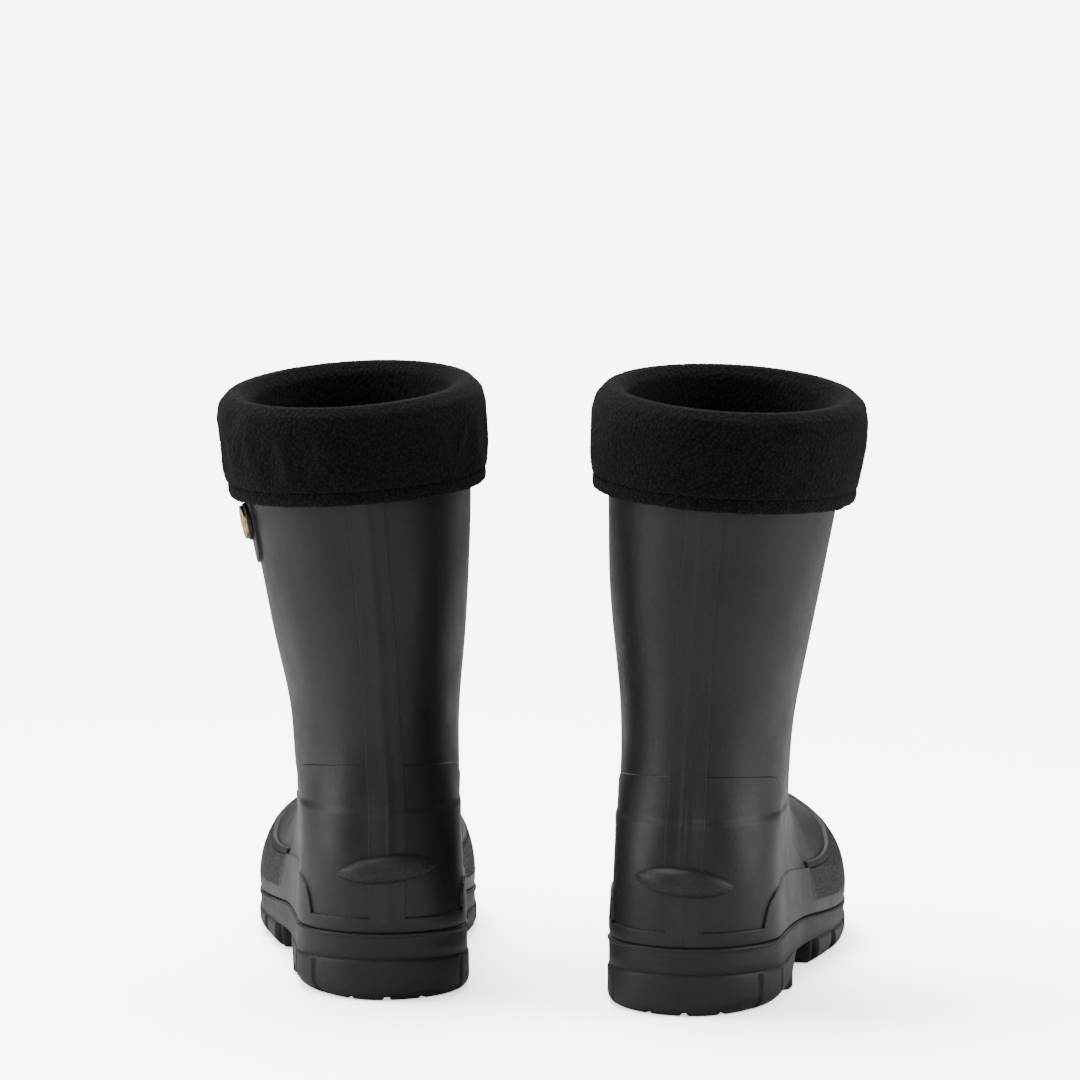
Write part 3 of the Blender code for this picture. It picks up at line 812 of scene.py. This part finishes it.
    def build_heel(self):
        """The heel block: a soft step at its top, rear notches, side grooves, round corners."""
        reach = np.linspace(-HEEL_BREAST_COLUMN, HEEL_BREAST_COLUMN, 460)
        line = closed_line(place([0.0], reach)[0, :, :2], 0.55, 12)
        x, y = line.T
        notch = np.zeros(len(line))
        for at in REAR_NOTCHES_X:
            notch = np.maximum(notch, (y < 14) * smooth(2.2, 1.3, np.abs(x - at)))
        side = np.zeros(len(line))
        for at in SIDE_GROOVES_Y:
            side = np.maximum(side, (np.abs(x) > 25) * smooth(1.8, 0.9, np.abs(y - at)))
        front = y.max()
        flare = 20.0 * smooth(front - 26, front - 1, y)
        top = sole_top(y)
        corner = 5.0 + 4.5 * smooth(5, 34, x) + 1.0 * smooth(-5, -34, x)
        corner *= 1 - 0.7 * smooth(front - 8, front - 2, y)
        profile = [
            (1.6, top + 1.1), (2.15, top + 0.8), (2.35, top + 0.4), (2.65, top), (2.92, top - 0.5),
            (HEEL_WALL, top - 1.2), (HEEL_WALL, (top - 1.2 + corner) / 2),
        ]
        profile += foot_round(HEEL_WALL, corner, 0.0, 14)
        floor = 2.0 * notch + 3.0 * side
        wall = [
            (d - 1.2 * side * smooth(top, top - 1.5, z), np.maximum(z, floor * smooth(6, 2, z)))
            for d, z in profile
        ]

        def relief(flat, inward):
            bars = smooth(-0.2, 0.2, np.sin(flat[:, 1] * 2 * math.pi / 12) - 0.35)
            return tread_relief(inward, floor, 9.8, 13.8, bars)

        def low(along):
            return 0 * along

        spine = self.spine(line, 36.0, 24.0)
        self.sole_piece("heel_tread", "heel_block", line, spine, wall, low, relief, flare)

    def build_forefoot(self):
        """The forefoot tread, with tall cleats round its edge and chevrons in the middle."""
        reach = np.linspace(TREAD_BACK_COLUMN, 2 - TREAD_BACK_COLUMN, 900)
        line = closed_line(place([0.0], reach)[0, :, :2], CLEAT_STEP, 12)
        x, y = line.T
        run = np.arange(len(line)) * CLEAT_STEP
        offset = np.abs((run + CLEAT_PITCH / 2) % CLEAT_PITCH - CLEAT_PITCH / 2)
        top = sole_top(y)
        base = ground(y)
        tall = top - base
        corner = 5.0 + 3.5 * smooth(5, 34, x) * smooth(270, 230, y)

        def gap(height):
            """1 between two cleats, over a width that narrows upwards."""
            half = (CLEAT_GAP[0] + (CLEAT_GAP[1] - CLEAT_GAP[0]) * (height - base) / tall) / 2
            return smooth(half + 0.6, half - 0.6, offset)

        profile = [(1.6, top + 0.4), (2.2, top), (2.3, top - 0.6), (2.7, top - 1.1)]
        profile += [(CLEAT_WALL, top - 1.8), (CLEAT_WALL, (top - 1.8 + base + corner) / 2)]
        profile += foot_round(CLEAT_WALL, corner, base, 12)
        wall = []
        for d, height in profile:
            open_here = gap(height)
            sunk = 5.0 * open_here * smooth(top - 0.5, top - 1.3, height)
            wall.append((d - sunk, np.maximum(height, base + CLEAT_HEIGHT * open_here)))
        floor = CLEAT_HEIGHT * gap(base)

        def relief(flat, inward):
            ahead = flat[:, 1] - 0.45 * np.abs(flat[:, 0])
            bars = smooth(-0.18, 0.18, np.sin(ahead * 4 * math.pi / CLEAT_PITCH) - 0.4)
            return tread_relief(inward, floor, 11.5, 15.3, bars)

        spine = self.spine(line, 46.0, 50.0)
        self.sole_piece("forefoot_cleats", "forefoot_tread", line, spine, wall, ground, relief)

    # ------------------------------------------------------------ fleece liner

    def rim_points(self, curve, columns, front_rise=0.0):
        """A section swept round the shaft's rim, leaning with the shaft."""
        rim = place([RIM_LEVEL], columns)[0]
        out = normals([RIM_LEVEL], columns)[0]
        out[:, 2] = 0
        out /= np.linalg.norm(out, axis=1, keepdims=True)
        lean = np.array([math.tan(math.radians(SHAFT_LEAN_DEG)), 0, 1])
        forward = (1 - np.cos(math.pi * columns)) / 2
        distance, height = curve[:, :1], curve[:, 1:]
        raised = height + front_rise * forward * np.maximum(height, 0) / 23
        return rim + out * distance[..., None] + lean * raised[..., None]

    def ring(self, name, section, size, softness, slot, node):
        curve = closed_line(section, size, softness)
        points = self.rim_points(curve, np.linspace(-1, 1, 360, endpoint=False))
        self.rubber(name, points, slot, node, wrap=True, loop=True)

    def build_cuff(self):
        """The turned-down cuff: a stuffed, wavering fleece ring covered in nubs."""
        dense = closed_line(CUFF_SECTION, 0.25, 42)
        dense = dense[: len(dense) // 8 * 8]
        around = 168
        coarse_columns = np.linspace(-1, 1, around, endpoint=False)
        coarse = self.rim_points(dense[::8], coarse_columns, CUFF_FRONT_RISE)
        out = grid_normals(coarse)
        free = smooth(3.5, 6.5, dense[::8, 0])[:, None] * smooth(-18, -12, dense[::8, 1])[:, None]
        loose = 0.4 * waves(coarse, 0.5, self.seed)
        coarse = coarse + out * (loose * free)[..., None]
        held = (dense[::8, 0] < 2.9) & (dense[::8, 1] < 9) | (dense[::8, 1] < -16.5)
        shift = out * (loose * free)[..., None]
        sewn = np.repeat(held, around)
        stuffed = self.to_local(settle(self.world(coarse), sewn, CUFF_PRESSURE, CUFF_SWELL))
        shift = shift + stuffed

        index = np.arange(len(dense))
        hidden = (dense[:, 0] < 2.6) & (dense[:, 1] < 8) & (dense[:, 0] > -8.4)
        rows = index[(~hidden & (index % 2 == 0)) | (index % 8 == 0)]
        count = 880
        columns = np.linspace(-1, 1, count, endpoint=False)
        fine = self.rim_points(dense[rows], columns, CUFF_FRONT_RISE)
        fine = fine + resample(shift, rows / 8, np.arange(count) * around / count)
        self.fleece("cuff_fleece", fine, "cuff", loop=True)

        curve = closed_line(HEM_SECTION, 0.42, 5)
        band = self.rim_points(curve, columns)
        band = band + grid_normals(band) * (0.25 * waves(band, 0.3, self.seed + 2))[..., None]
        self.fleece("cuff_hem_fleece", band, "cuff_hem", loop=True)

    def to_local(self, shift):
        """A movement in the row frame, in metres, as one in the boot's own frame."""
        return (shift / MM) @ self.turn * (self.mirror, 1, 1)

    def fleece(self, name, points, node, loop=False, height=NUB_HEIGHT, size=NUB_SIZE):
        nub = cell_height(points, size, self.seed + 7, 0.34)
        out = grid_normals(points, loop)
        points = points + out * (height * (nub - 0.6))[..., None]
        # The nub field also sets the painted shade in the creases and the painted highlight on the
        # nubs' tops, through the fleece's colour.
        return self.grid(
            name, points, "fleece", node, "liner", wrap=True, loop=loop, fields=[("nub", nub)]
        )

    def build_liner(self):
        """The fleece sock inside the boot: its leg and its foot."""
        columns = np.linspace(-1, 1, 440, endpoint=False)
        inner = LINER_OUTSIDE - LINER
        rising = steps(LINER_SPLIT_LEVEL + 0.02, LINER_TOP_LEVEL, 0.016)
        outside = surface(rising, columns, LINER_OUTSIDE)
        inside = surface(rising[::-1], columns, inner)
        points = np.concatenate([outside, inside])
        self.fleece("liner_leg_fleece", points, "liner_leg", loop=True, size=LINER_NUB_SIZE)

        levels = level_at_height(steps(41.0, 198.0, 1.1))
        levels = levels[(levels > 0.75) & (levels < LINER_SPLIT_LEVEL)]
        levels = np.array([0.75, *levels, LINER_SPLIT_LEVEL])
        outside = surface(levels, columns, LINER_OUTSIDE)
        inside = surface(levels[::-3], columns, inner)
        sole = self.sock_sole(outside[0], -1.5, 34)
        footbed = self.sock_sole(inside[-1], -1.0, 14)
        points = np.concatenate([sole[::-1], outside, inside, footbed])
        self.fleece("liner_foot_fleece", points, "liner_foot", size=LINER_NUB_SIZE)

    def sock_sole(self, ring, drop, rows):
        """Rows that close a ring of points below it, shrinking onto its middle line."""
        flat = ring[:, :2]
        spine = self.spine(flat, 34.0, 44.0)
        order = np.argsort(ring[:, 1])
        closing = []
        for share in np.linspace(0, 1, rows + 1)[1:]:
            across = flat + (spine - flat) * share
            lower = ring[:, 2] + drop * math.sin(min(share * 3, 1) * math.pi / 2)
            middle = np.interp(across[:, 1], ring[order, 1], ring[order, 2])
            closing.append(np.column_stack([across, lower * (1 - share) + (middle + drop) * share]))
        return np.array(closing)

    # ------------------------------------------------------------ badge

    def build_badge(self):
        """A rubber tab hanging from under the cuff, with a round embossed badge on a pad."""
        width, height = TAB_SIZE
        level = level_at_height([BADGE_HEIGHT])
        reach = width / 2 / half_length(level)[0]
        columns = BADGE_COLUMN + np.linspace(-reach, reach, 90)
        top = BADGE_HEIGHT + height / 2 - TAB_DROP
        levels = level_at_height(steps(top - height, top, 0.3))
        base = place(levels, columns)
        left, right, bottom, upper = edge_distance(base)
        inside = rounded(np.minimum(left, right), bottom, width / 2 - 0.5)
        inside = np.minimum(inside, upper + 3)
        raised = layer(TAB_LIFT, 0.8, inside)
        raised -= 0.25 * ridge(inside - 1.9, 0.35)
        points = surface(levels, columns, raised)
        self.rubber("badge_tab_skin", points, "badge_rubber", "badge_tab")

        middle = np.array([BADGE_COLUMN])
        centre = place(level, middle)[0, 0]
        out = normals(level, middle)[0, 0]
        up = np.array([0, 0, 1.0]) - out * out[2]
        up /= np.linalg.norm(up)
        axes = np.array([np.cross(up, out), up, out])
        centre = centre + out * (TAB_LIFT - 0.2)
        self.disc("badge_pad_disc", centre, axes, PAD, 0.9, None, "badge_rubber", "badge_pad")
        centre = centre + out * (PAD[1] - 0.1)

        def relief(radius, turn):
            """A plain raised rim, a beaded ring and a fluted dome: no mark of any maker."""
            rim = smooth(0.80, 0.86, radius)
            beads = smooth(0.1, 0.6, np.cos(turn * 40)) * ridge(radius - 0.70, 0.06)
            flutes = 0.5 + 0.5 * np.cos(turn * 12)
            dome = smooth(0.58, 0.2, radius) * (0.55 + 0.45 * flutes * smooth(0.08, 0.3, radius))
            return 0.5 * rim + 0.4 * beads + 0.6 * dome - 0.5

        brass = ("brass", "badge_emblem")
        self.disc("badge_emblem_disc", centre, axes, EMBLEM, 0.5, relief, *brass)

    def disc(self, name, centre, axes, size, edge, relief, slot, node):
        """A round disc that faces along its third axis, with a rounded edge."""
        radius, depth = size
        turn = np.linspace(0, 2 * math.pi, 240, endpoint=False)
        corner = np.linspace(0, math.pi / 2, 7)
        r = [radius, radius, *(radius - edge + edge * np.cos(corner))]
        h = [0, depth - edge - 0.02, *(depth - edge + edge * np.sin(corner))]
        inward = np.linspace(radius - edge, 0.02, 60)[1:]
        r = np.array([*r, *inward])[:, None] + 0 * turn
        h = np.array([*h, *(depth + 0 * inward)])[:, None] + 0 * turn
        if relief:
            h = h + relief(r / radius, turn) * smooth(radius, radius - edge - 0.3, r)
        across = np.cos(turn)[:, None] * axes[0] + np.sin(turn)[:, None] * axes[1]
        points = centre + r[..., None] * across + h[..., None] * axes[2]
        self.rubber(name, points, slot, node, wrap=True)


# ---------------------------------------------------------------- materials


class Nodes:
    """A short way to build a material's node tree."""

    def __init__(self, name):
        self.material = bpy.data.materials.new(name)
        self.material.use_nodes = True
        self.tree = self.material.node_tree
        self.shader = self.tree.nodes["Principled BSDF"]
        self.place = self.add("ShaderNodeTexCoord").outputs["Object"]

    def add(self, kind, links=(), **values):
        """A node with these settings, input values by socket name and links into its inputs."""
        node = self.tree.nodes.new(kind)
        for key, value in values.items():
            if key in node.inputs:
                node.inputs[key].default_value = value
            else:
                setattr(node, key, value)
        for socket, source in dict(links).items():
            self.tree.links.new(source, node.inputs[socket])
        return node

    def noise(self, scale, detail=3.0, roughness=0.5):
        values = {"Scale": scale, "Detail": detail, "Roughness": roughness}
        return self.add("ShaderNodeTexNoise", {"Vector": self.place}, **values).outputs["Fac"]

    def spread(self, source, low, high, from_low=0.3, from_high=0.7):
        """A value turned from one range into another."""
        values = {"From Min": from_low, "From Max": from_high, "To Min": low, "To Max": high}
        return self.add("ShaderNodeMapRange", {"Value": source}, **values).outputs["Result"]

    def ramp(self, source, *stops):
        """A colour ramp from (position, colour) stops."""
        node = self.add("ShaderNodeValToRGB", {"Fac": source})
        for index, (position, colour) in enumerate(stops):
            if index < 2:
                element = node.color_ramp.elements[index]
                element.position = position
            else:
                element = node.color_ramp.elements.new(position)
            element.color = (*colour, 1.0)
        return node.outputs["Color"]

    def math(self, operation, first, second):
        node = self.add("ShaderNodeMath", operation=operation)
        for socket, value in zip(node.inputs, (first, second)):
            if isinstance(value, (int, float)):
                socket.default_value = value
            else:
                self.tree.links.new(value, socket)
        return node.outputs["Value"]

    def mix(self, first, second, share):
        """The first value with this share of the second."""
        first = self.math("MULTIPLY", first, 1 - share)
        return self.math("ADD", first, self.math("MULTIPLY", second, share))

    def pointiness(self):
        return self.add("ShaderNodeNewGeometry").outputs["Pointiness"]

    def field(self, name):
        return self.add("ShaderNodeAttribute", attribute_name=name).outputs["Fac"]

    def bump(self, height, depth, strength=1.0, under=None):
        links = {"Height": height}
        if under:
            links["Normal"] = under
        node = self.add("ShaderNodeBump", links, Strength=strength, Distance=depth)
        return node.outputs["Normal"]

    def finish(self, colour, roughness, normal, **constants):
        links = {"Base Color": colour, "Roughness": roughness, "Normal": normal}
        for socket, source in links.items():
            self.tree.links.new(source, self.shader.inputs[socket])
        for socket, value in constants.items():
            self.shader.inputs[socket.replace("_", " ")].default_value = value
        return self.material


def grey(value, warm=0.0):
    return (value * (1 + warm), value, value * (1 - warm))


def rubber_material(name, shade, rough, grain):
    """Moulded rubber: cloudy bloom, faint scuffs, lighter worn edges and a fine grain."""
    nodes = Nodes(name)
    mixed = nodes.mix(nodes.noise(22.0, 4.0, 0.6), nodes.noise(260.0, 3.0, 0.6), 0.3)
    worn = nodes.spread(nodes.pointiness(), 0, 0.35, 0.52, 0.6)
    shade_at = nodes.math("ADD", mixed, worn)
    colour = nodes.ramp(
        shade_at, (0.32, grey(shade * 0.72)), (0.66, grey(shade * 1.25)), (1.0, grey(shade * 2.2))
    )
    smudge = nodes.noise(48.0, 5.0, 0.62)
    roughness = nodes.spread(smudge, rough - 0.05, rough + 0.07)
    normal = nodes.bump(nodes.noise(grain, 2.0, 0.5), 0.00006)
    normal = nodes.bump(nodes.noise(grain * 4, 2.0, 0.5), 0.00003, under=normal)
    return nodes.finish(colour, roughness, normal, Specular_IOR_Level=0.5)


def stipple_material(name, shade, rough):
    """Coarse stippled rubber, with painted shade darkening the creases and a painted highlight
    lightening the tops of the bumps.
    """
    nodes = Nodes(name)
    level = nodes.mix(nodes.field("bump"), nodes.noise(30.0, 4.0, 0.6), 0.5)
    # Painted shade and highlight: the colour follows the bump's height, darker in the creases and
    # lighter on the bumps' tops, with a random tone mixed in.
    colour = nodes.ramp(level, (0.2, grey(shade * 0.65)), (0.7, grey(shade * 1.3)))
    roughness = nodes.spread(level, rough + 0.1, rough - 0.08, 0.2, 0.8)
    normal = nodes.bump(nodes.noise(1500.0, 3.0, 0.6), 0.00012)
    return nodes.finish(colour, roughness, normal, Specular_IOR_Level=0.5)


def fleece_material():
    """Nubby black fleece: a painted highlight on top of the nubs and painted shade in the creases
    between them, flecked by the fibres.
    """
    nodes = Nodes("fleece_knit")
    nub = nodes.field("nub")
    fibre = nodes.noise(2600.0, 3.0, 0.7)
    cloud = nodes.noise(35.0, 3.0, 0.5)
    level = nodes.math("MULTIPLY", nub, nodes.spread(fibre, 0.55, 1.0))
    level = nodes.math("ADD", level, nodes.spread(cloud, -0.06, 0.06))
    # Painted highlight and shade: the colour rises with the nub's height, near black in the creases
    # and lighter on the tops, with a random fibre and cloud tone.
    colour = nodes.ramp(
        level, (0.0, grey(0.002)), (0.45, grey(0.0075)), (1.0, grey(0.0125, 0.01))
    )
    roughness = nodes.spread(fibre, 0.85, 1.0)
    normal = nodes.bump(fibre, 0.00035)
    normal = nodes.bump(nodes.noise(900.0, 2.0, 0.6), 0.0005, 0.6, under=normal)
    return nodes.finish(
        colour, roughness, normal, Specular_IOR_Level=0.12, Sheen_Weight=0.08, Sheen_Roughness=0.45,
        Sheen_Tint=(0.8, 0.8, 0.82, 1.0),
    )


def brass_material():
    """Satin brass, brighter on its raised parts and dulled in its hollows."""
    nodes = Nodes("satin_brass")
    worn = nodes.spread(nodes.pointiness(), 0.0, 0.8, 0.44, 0.56)
    patch = nodes.spread(nodes.noise(420.0, 3.0, 0.6), 0, 0.25)
    level = nodes.math("ADD", worn, patch)
    colour = nodes.ramp(level, (0.1, (0.32, 0.20, 0.08)), (0.8, (0.86, 0.62, 0.30)))
    roughness = nodes.spread(level, 0.45, 0.22, 0.1, 0.9)
    normal = nodes.bump(nodes.noise(2400.0, 2.0, 0.5), 0.00004)
    return nodes.finish(colour, roughness, normal, Metallic=1.0)


def felt_material():
    """Grey felt with short crossing fibres."""
    nodes = Nodes("footbed_felt_knit")
    fibre = nodes.noise(1400.0, 5.0, 0.75)
    colour = nodes.ramp(fibre, (0.3, grey(0.03)), (0.7, grey(0.085)))
    roughness = nodes.spread(fibre, 0.85, 1.0)
    normal = nodes.bump(fibre, 0.0006)
    return nodes.finish(colour, roughness, normal, Sheen_Weight=0.2)


def make_materials():
    return {
        "boot_rubber": rubber_material("boot_rubber_satin", 0.0125, 0.44, 700.0),
        "sole_rubber": rubber_material("sole_rubber_matt", 0.0125, 0.52, 900.0),
        "badge_rubber": rubber_material("badge_rubber_smooth", 0.008, 0.40, 700.0),
        "guard_rubber": stipple_material("guard_rubber_stipple", 0.0125, 0.50),
        "fleece": fleece_material(),
        "footbed_felt": felt_material(),
        "brass": brass_material(),
    }


# ---------------------------------------------------------------- stage, lights and camera


def make_stage():
    """A plain pale floor that runs out to the background without an edge."""
    x, y = np.meshgrid([-FLOOR_HALF_WIDTH, FLOOR_HALF_WIDTH], [-FLOOR_HALF_WIDTH, FLOOR_HALF_WIDTH])
    mesh = quad_mesh("floor", np.stack([x, y, 0 * x], axis=-1))
    floor = bpy.data.objects.new("floor", mesh)
    bpy.context.scene.collection.objects.link(floor)
    nodes = Nodes("pale_floor")
    shade = nodes.ramp(nodes.noise(2.0, 2.0), (0.3, grey(0.80)), (0.7, grey(0.82)))
    roughness = nodes.spread(nodes.noise(5.0), 0.85, 0.95)
    normal = nodes.bump(nodes.noise(300.0), 0.0001, 0.2)
    seen = nodes.add("ShaderNodeLightPath").outputs["Is Camera Ray"]
    bright = nodes.add("ShaderNodeVectorMath", {0: shade}, operation="SCALE")
    scale = nodes.spread(seen, 1.0, FLOOR_GAIN, 0.0, 1.0)
    nodes.tree.links.new(scale, bright.inputs["Scale"])
    shade = bright.outputs["Vector"]
    material = nodes.finish(shade, roughness, normal, Specular_IOR_Level=0.1)
    nodes.shader.inputs["Emission Color"].default_value = (1, 1, 1, 1)
    strength = nodes.math("MULTIPLY", seen, FLOOR_GLOW)
    nodes.tree.links.new(strength, nodes.shader.inputs["Emission Strength"])
    away = nodes.add("ShaderNodeVectorMath", {0: nodes.place}, operation="LENGTH").outputs["Value"]
    far = nodes.spread(away, 0.0, 1.0, *FLOOR_FADE)
    glow = nodes.add("ShaderNodeEmission", Strength=WORLD_SEEN).outputs["Emission"]
    mix = nodes.add("ShaderNodeMixShader", {"Fac": nodes.math("MULTIPLY", seen, far), 2: glow})
    nodes.tree.links.new(nodes.shader.outputs["BSDF"], mix.inputs[1])
    output = nodes.tree.nodes["Material Output"]
    nodes.tree.links.new(mix.outputs["Shader"], output.inputs["Surface"])
    mesh.materials.append(material)


def make_lights():
    """A soft studio: the background is white to the camera and dim to everything else."""
    for name, (place_at, aim_height, size, power) in LIGHTS.items():
        data = bpy.data.lights.new(name, "AREA")
        data.shape = "RECTANGLE"
        data.size, data.size_y = size
        data.energy = power
        light = bpy.data.objects.new(name, data)
        light.location = place_at
        aim = Vector((0, 0, aim_height)) - light.location
        light.rotation_euler = aim.to_track_quat("-Z", "Y").to_euler()
        bpy.context.scene.collection.objects.link(light)
    world = bpy.data.worlds.new("studio")
    bpy.context.scene.world = world
    world.use_nodes = True
    tree = world.node_tree
    mix = tree.nodes.new("ShaderNodeMixShader")
    path = tree.nodes.new("ShaderNodeLightPath")
    tree.links.new(path.outputs["Is Camera Ray"], mix.inputs["Fac"])
    lit, seen = tree.nodes["Background"], tree.nodes.new("ShaderNodeBackground")
    for socket, background, strength in ((1, lit, WORLD_LIGHT), (2, seen, WORLD_SEEN)):
        background.inputs["Color"].default_value = (1, 1, 1, 1)
        background.inputs["Strength"].default_value = strength
        tree.links.new(background.outputs["Background"], mix.inputs[socket])
    tree.links.new(mix.outputs["Shader"], tree.nodes["World Output"].inputs["Surface"])


def make_camera():
    data = bpy.data.cameras.new("camera")
    data.sensor_width = 36.0
    data.lens = CAMERA_LENS_MM
    data.clip_start = 0.05
    camera = bpy.data.objects.new("camera", data)
    camera.location = CAMERA_PLACE
    camera.rotation_euler = (math.pi / 2 - CAMERA_TILT, 0, 0)
    bpy.context.scene.collection.objects.link(camera)
    bpy.context.scene.camera = camera


def corners(box):
    return [list(corner) for corner in box]


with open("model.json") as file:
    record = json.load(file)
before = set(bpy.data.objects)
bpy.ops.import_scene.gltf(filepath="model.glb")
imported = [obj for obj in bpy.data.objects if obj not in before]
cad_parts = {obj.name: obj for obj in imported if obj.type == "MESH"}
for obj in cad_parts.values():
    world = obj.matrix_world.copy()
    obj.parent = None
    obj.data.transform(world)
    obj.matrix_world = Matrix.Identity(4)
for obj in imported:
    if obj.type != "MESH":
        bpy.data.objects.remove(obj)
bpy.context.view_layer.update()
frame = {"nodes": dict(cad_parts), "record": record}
materials = make_materials()
mounts = {mount["name"]: mount["pos_m"] for mount in frame["record"]["mounts"]}
for side in MIRROR:
    boot = Boot(side, mounts[f"{side}_heel_rest"], materials)
    boot.build_upper()
    boot.build_back_strip()
    boot.build_ankle_panels()
    boot.build_foxing()
    boot.build_guard()
    boot.build_lug()
    boot.build_sole()
    boot.build_liner()
    boot.build_cuff()
    if side == "left":
        boot.build_badge()
make_stage()
make_lights()
make_camera()
